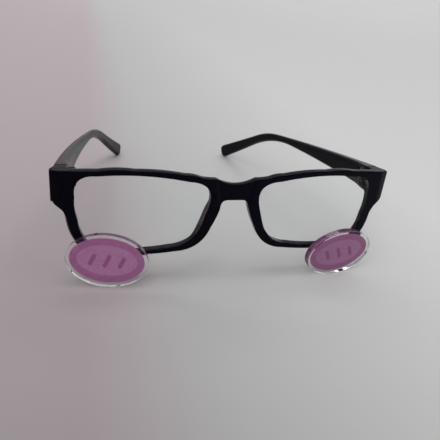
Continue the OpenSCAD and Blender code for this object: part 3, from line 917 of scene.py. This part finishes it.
# Floor and backdrop: one pale card curving up all round, in metres. It is greyest near the pair, paler to the
# right and far away, and faintly pink to the left; this grey and paleness are painted shade and painted light in
# its colour.
room = {"radius": 3.2, "curve": 0.6, "height": 0.9, "under": 0.0001,
        "turns": 96, "floorRings": 6, "curveRings": 10}
card = {
    "grey": 0.2, "acrossGain": 0.43, "left": -0.06, "right": 0.143,
    "farGain": 0.404, "farPower": 0.32, "greyestY": -0.17, "soft": 0.015, "farAt": 1.67,
    "pink": "#fff1f6", "plain": "#ffffff", "plainFrom": 0.25, "rough": 0.9, "shine": 0.2,
}


def paleCard():
    material, tree = newMaterial("paleMattCard")
    at = addNode(tree, "ShaderNodeTexCoord").outputs["Object"]
    parts = addNode(tree, "ShaderNodeSeparateXYZ", inputs={"Vector": at})
    # Painted shade and light: the card's colour is darkest near the pair and grows paler to the right and far away
    across = addNode(tree, "ShaderNodeMapRange", inputs={
        "Value": parts.outputs["X"], "From Min": card["left"], "From Max": card["right"]})
    place = addNode(tree, "ShaderNodeCombineXYZ", inputs={"X": card["soft"], "Y": parts.outputs["Y"]})
    away = addNode(tree, "ShaderNodeVectorMath", {"operation": "DISTANCE"},
                   {0: place.outputs[0], 1: (0, card["greyestY"], 0)})
    far = addNode(tree, "ShaderNodeMapRange", inputs={
        "Value": away.outputs["Value"], "From Max": card["farAt"]})
    rise = addNode(tree, "ShaderNodeMath", {"operation": "POWER"},
                   {0: far.outputs["Result"], 1: card["farPower"]})
    fading = addNode(tree, "ShaderNodeMath", {"operation": "SUBTRACT"}, {0: 1.0, 1: rise.outputs[0]})
    spread = addNode(tree, "ShaderNodeMath", {"operation": "MULTIPLY"},
                     {0: across.outputs["Result"], 1: fading.outputs[0]})
    wide = addNode(tree, "ShaderNodeMath", {"operation": "MULTIPLY_ADD"},
                   {0: spread.outputs[0], 1: card["acrossGain"], 2: card["grey"]})
    level = addNode(tree, "ShaderNodeMath", {"operation": "MULTIPLY_ADD"},
                    {0: rise.outputs[0], 1: card["farGain"], 2: wide.outputs[0]})
    tint = addNode(tree, "ShaderNodeValToRGB", inputs={"Fac": across.outputs["Result"]},
                   stops=[(0.0, linear(card["pink"])), (card["plainFrom"], linear(card["plain"]))])
    tint.color_ramp.interpolation = "EASE"
    colour = addNode(tree, "ShaderNodeVectorMath", {"operation": "SCALE"},
                     {0: tint.outputs["Color"], "Scale": level.outputs[0]})
    shader = addNode(tree, "ShaderNodeBsdfPrincipled", inputs={
        "Base Color": colour.outputs[0], "Roughness": card["rough"], "Specular IOR Level": card["shine"]})
    finishMaterial(tree, shader)
    return material


def makeSweep():
    flat, curve, turns = room["radius"] - room["curve"], room["curve"], room["turns"]
    profile = [(flat * i / room["floorRings"], 0) for i in range(1, room["floorRings"] + 1)]
    for i in range(1, room["curveRings"] + 1):
        a = math.radians(90 / room["curveRings"] * i)
        profile.append((flat + curve * math.sin(a), curve * (1 - math.cos(a))))
    profile.append((room["radius"], room["height"]))
    lowest = cadBounds[0][2] - room["under"]
    verts = [(r * math.cos(a), r * math.sin(a), z + lowest) for r, z in profile
             for a in (math.tau * i / turns for i in range(turns))] + [(0, 0, lowest)]
    faces = [face[::-1] for face in bandFaces(turns, len(profile) - 1)]
    faces += [(i, (i + 1) % turns, len(verts) - 1) for i in range(turns)]
    mesh = bpy.data.meshes.new("sweep")
    mesh.from_pydata(verts, [], faces)
    for face in mesh.polygons:
        face.use_smooth = True
    mesh.materials.append(paleCard())
    return placedObject("sweep", mesh)


sweep = makeSweep()
print("floor and backdrop made")

# World: a dim room, brightest low and behind the pair and darker above
sky = {"level": 0.3, "behind": 0.1, "above": -0.2, "dark": "#38383c", "bright": "#ffffff"}
world = bpy.data.worlds.new("dimRoom")
world.use_nodes = True
world.node_tree.nodes.clear()
bpy.context.scene.world = world
skyTree = world.node_tree
skyAt = addNode(skyTree, "ShaderNodeTexCoord").outputs["Generated"]
direction = addNode(skyTree, "ShaderNodeSeparateXYZ", inputs={"Vector": skyAt})
backPart = addNode(skyTree, "ShaderNodeMath", {"operation": "MULTIPLY_ADD"},
                   {0: direction.outputs["Y"], 1: sky["behind"], 2: sky["level"]})
skyLevel = addNode(skyTree, "ShaderNodeMath", {"operation": "MULTIPLY_ADD", "use_clamp": True},
                   {0: direction.outputs["Z"], 1: sky["above"], 2: backPart.outputs[0]})
skyColour = addNode(skyTree, "ShaderNodeValToRGB", inputs={"Fac": skyLevel.outputs[0]},
                    stops=[(0.0, linear(sky["dark"])), (1.0, linear(sky["bright"]))])
skyLight = addNode(skyTree, "ShaderNodeBackground", inputs={"Color": skyColour.outputs["Color"]})
addNode(skyTree, "ShaderNodeOutputWorld", inputs={"Surface": skyLight.outputs[0]})

# Lamps, in metres and watts: a wide soft one overhead, a weak one in front, and one that
# lights the far card
lamps = {
    "overhead": {"at": (0.1, -0.3, 2.1), "size": (2.6, 1.2), "power": 27, "to": (0, 0, 0.02)},
    "front": {"at": (-0.35, -1.0, 0.95), "size": (1.0, 0.8), "power": 6, "to": (0, 0, 0.02)},
    "wash": {"at": (1.2, 1.9, 2.4), "size": (4.0, 1.6), "power": 56, "to": (1.5, 2.6, 0)},
}
for name, lamp in lamps.items():
    light = bpy.data.lights.new(name, "AREA")
    light.shape = "RECTANGLE"
    light.size, light.size_y = lamp["size"]
    light.energy = lamp["power"]
    holder = placedObject(name, light)
    holder.location = lamp["at"]
    holder.rotation_euler = (Vector(lamp["to"]) - Vector(lamp["at"])).to_track_quat("-Z", "Y").to_euler()

# Camera, as the photograph was taken: its place in metres, its turn in degrees, its lens in millimetres
view = {
    "at": (-0.056885, -0.248673, 0.119877), "turn": (63.07436, -5.59926, -13.63958),
    "lens": 40.909, "sensor": 36, "near": 0.01,
}
cameraData = bpy.data.cameras.new("camera")
cameraData.lens = view["lens"]
cameraData.sensor_width = view["sensor"]
cameraData.clip_start = view["near"]
camera = placedObject("camera", cameraData)
camera.location = view["at"]
camera.rotation_euler = Euler([math.radians(a) for a in view["turn"]])
bpy.context.scene.camera = camera
bpy.context.scene.view_settings.view_transform = "Standard"
print("lamps and camera set")
